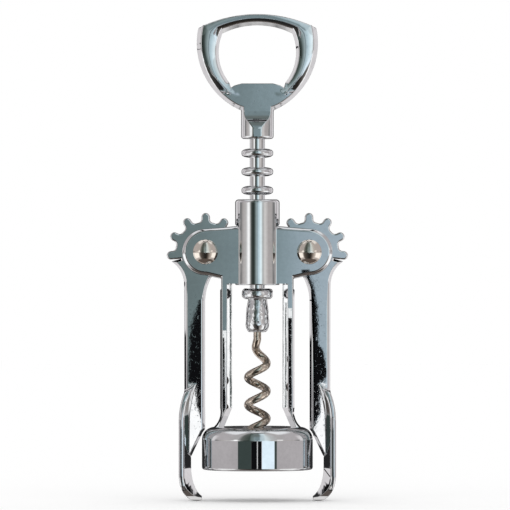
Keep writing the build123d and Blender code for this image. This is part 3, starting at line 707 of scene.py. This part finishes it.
def swelled_normal(place, facing):
    """Direction of the swelled face of the loop, for faces that look to the front or the back."""
    x, y, z = place
    on_crown = HANDLE_FACE - ON_FACE <= abs(y) <= HANDLE_FACE + CROWN + ON_FACE
    if not on_crown or abs(facing.y) < FACING or z < CROWN_FROM:
        return None
    slope_x = (crown_at(x + SLOPE_STEP, z) - crown_at(x - SLOPE_STEP, z)) / (2 * SLOPE_STEP)
    slope_z = (crown_at(x, z + SLOPE_STEP) - crown_at(x, z - SLOPE_STEP)) / (2 * SLOPE_STEP)
    length = math.sqrt(1 + slope_x * slope_x + slope_z * slope_z)
    return (-slope_x / length, math.copysign(1 / length, y), -slope_z / length)


def on_face(y):
    """Whether a depth is that of the handle's front or back face."""
    return abs(abs(y) - HANDLE_FACE) < ON_FACE


def cut_flat_faces(piece, spans):
    """Cut the faces that look to the front and the back by evenly spaced planes: axis, start, end."""
    take(piece)
    bpy.ops.object.mode_set(mode="EDIT")
    bpy.ops.mesh.select_mode(type="FACE")
    bpy.ops.mesh.select_all(action="DESELECT")
    bpy.ops.object.mode_set(mode="OBJECT")
    for face in piece.data.polygons:
        face.select = abs(face.normal.y) > FLAT_FACING and on_face(face.center.y / MM)
    bpy.ops.object.mode_set(mode="EDIT")
    bpy.ops.mesh.hide(unselected=True)
    for axis, start, end in spans:
        normal = [0.0, 0.0, 0.0]
        normal[axis] = 1.0
        for index in range(int((end - start) / CROWN_CELL) + 1):
            point = [0.0, 0.0, 0.0]
            point[axis] = (start + index * CROWN_CELL) * MM
            bpy.ops.mesh.select_all(action="SELECT")
            bpy.ops.mesh.bisect(plane_co=point, plane_no=normal)
    bpy.ops.mesh.reveal(select=False)
    bpy.ops.object.mode_set(mode="OBJECT")


def handle_piece():
    """The loop handle: its rim stands out, its top bar reaches lower and its face is crowned."""
    piece = merged_copy("handle_opener", "handle_casting")
    round_edges(piece, handle_edge)
    put_back(piece, "handle_opener")
    for vertex in piece.data.vertices:
        drop = top_bar_drop(vertex.co / MM)
        shift_x, shift_z = rim_shift(vertex.co / MM)
        vertex.co.x += shift_x * MM
        vertex.co.z += (shift_z - drop) * MM
    cut_flat_faces(piece, ((0, -LOOP_HALF, LOOP_HALF), (2, CROWN_FROM, LOOP_SUMMIT)))
    for vertex in piece.data.vertices:
        x, y, z = vertex.co / MM
        if on_face(y):
            vertex.co.y += math.copysign(crown_at(x, z) * MM, y)
    smooth(piece, swelled_normal)
    finished(piece, "screw", "handle_chrome", handle_chrome, "handle_opener")


# ---- the rack: a profile of rounded rings, spun about the spindle ----
RING_RADIUS = 5.7
RING_PITCH = 6.702
FIRST_RING = 73.649
RING_COUNT = 7
RING_HALF = 1.65
# the ring's outline is full in its middle and rounds off to the sleeve at its ends
RING_BULGE = 3.2
RING_SHOULDER = 0.6
RING_END_PARTS = (0.9, 0.96, 0.99, 1.0)
SLEEVE_RADIUS = 2.7
SLEEVE_BORE = 1.85
PROFILE_STEP = 0.2
SPIN_STEPS = 64


def rack_radius(z):
    """Outer radius of the rack at a height: a full, rounded ring or the sleeve between two rings."""
    index = min(max(round((z - FIRST_RING) / RING_PITCH), 0), RING_COUNT - 1)
    away = abs(z - FIRST_RING - index * RING_PITCH) / RING_HALF
    if away >= 1:
        return SLEEVE_RADIUS
    return SLEEVE_RADIUS + (RING_RADIUS - SLEEVE_RADIUS) * (1 - away ** RING_BULGE) ** RING_SHOULDER


def rack_piece():
    """The sleeve with its rings, from one outline."""
    low, high = (corner[2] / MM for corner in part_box("rack_sleeve"))
    count = round((high - low) / PROFILE_STEP)
    heights = [low + (high - low) * index / count for index in range(count + 1)]
    for index in range(RING_COUNT):
        middle = FIRST_RING + index * RING_PITCH
        heights += [middle + side * RING_HALF * part for side in (-1, 1) for part in RING_END_PARTS]
    outline = [(rack_radius(z), z) for z in sorted(heights)]
    outline = [(SLEEVE_BORE, low)] + outline + [(SLEEVE_BORE, high)]
    mesh = bpy.data.meshes.new("ringed_rack")
    edges = [(index, (index + 1) % len(outline)) for index in range(len(outline))]
    mesh.from_pydata([(x * MM, 0, z * MM) for x, z in outline], edges, [])
    piece = bpy.data.objects.new("ringed_rack", mesh)
    bpy.context.scene.collection.objects.link(piece)
    take(piece)
    bpy.ops.object.mode_set(mode="EDIT")
    bpy.ops.mesh.select_all(action="SELECT")
    bpy.ops.mesh.spin(steps=SPIN_STEPS, angle=math.tau, center=(0, 0, 0), axis=(0, 0, 1))
    bpy.ops.mesh.select_all(action="SELECT")
    bpy.ops.mesh.remove_doubles(threshold=MERGE_DISTANCE)
    bpy.ops.mesh.normals_make_consistent(inside=False)
    bpy.ops.object.mode_set(mode="OBJECT")
    smooth(piece)
    finished(piece, "rack", "rack_chrome", rack_chrome, "rack_sleeve")


# ---- the socket: a rough casting, remeshed finely and dented ----
SOCKET_CELL = 0.28
DENT_SIZE = 2.4
DENT_DEPTH = 0.36


def socket_piece():
    """The socket that holds the worm, with a dented skin."""
    piece = merged_copy("worm_socket", "cast_socket")
    take(piece)
    piece.data.remesh_voxel_size = SOCKET_CELL * MM
    bpy.ops.object.voxel_remesh()
    dents = bpy.data.textures.new("casting_dents", "CLOUDS")
    dents.noise_scale = DENT_SIZE * MM
    dents.noise_depth = 2
    apply_modifier(piece, "DISPLACE", texture=dents, texture_coords="LOCAL", strength=DENT_DEPTH * MM,
                   mid_level=0.5)
    bpy.ops.object.shade_smooth()
    finished(piece, "screw", "socket_cast", socket_plate, "worm_socket")


# ---- the corkscrew's own finishes ----
CHROME = (0.80, 0.81, 0.82)
NICKEL = (0.84, 0.77, 0.69)
STEEL = (0.62, 0.62, 0.63)
WIRE = (0.88, 0.76, 0.64)
NYLON = (0.03, 0.03, 0.033)
frame_chrome = finish_material("frame_chrome_plate", CHROME, roughness=0.004, haze_gain=0.012,
                               waves=0.0003, grain=0.00002, stain=0.07, pits=0.10)
lever_chrome = finish_material("lever_chrome_plate", CHROME, roughness=0.004, haze_gain=0.012,
                               waves=0.0008, grain=0.00015, stain=0.07, pits=0.10)
handle_chrome = finish_material("handle_chrome_plate", CHROME, roughness=0.012, haze_gain=0.03,
                                waves=0.003, grain=0.0004, pits=0.35)
rack_chrome = finish_material("rack_chrome_plate", CHROME, roughness=0.03, haze_gain=0.05,
                              waves=0.02, grain=0.002, stain=0.06)
rivet_nickel = finish_material("rivet_nickel_plate", NICKEL, roughness=0.08, haze_gain=0.08,
                               waves=0.03, grain=0.003, stain=0.06)
socket_plate = finish_material("socket_cast_plate", CHROME, roughness=0.05, haze_gain=0.08,
                               waves=0.05, grain=0.01, stain=0.10, pits=0.2)
worm_steel = finish_material("worm_steel_wire", WIRE, roughness=0.05, haze_gain=0.10,
                             waves=0.03, grain=0.008, stain=0.4, pits=0.4)
shaft_steel = finish_material("shaft_turned_steel", STEEL, roughness=0.1, haze_gain=0.1,
                              waves=0.01, grain=0.002)
liner_nylon = plastic_material("liner_moulded_nylon", NYLON)

dress("bell_liner", liner_nylon)
for side in ("left", "right"):
    dress("rivet_post_" + side, rivet_nickel)
    dress("rivet_cap_" + side, rivet_nickel)
    lever_piece(side)
frame_piece()
handle_piece()
rack_piece()
socket_piece()
dress("spindle_shaft", shaft_steel)
dress("handle_pin", shaft_steel)
dress("worm", worm_steel)

studio_world()
studio_floor()
studio_camera()
bpy.context.scene.view_settings.view_transform = "Standard"
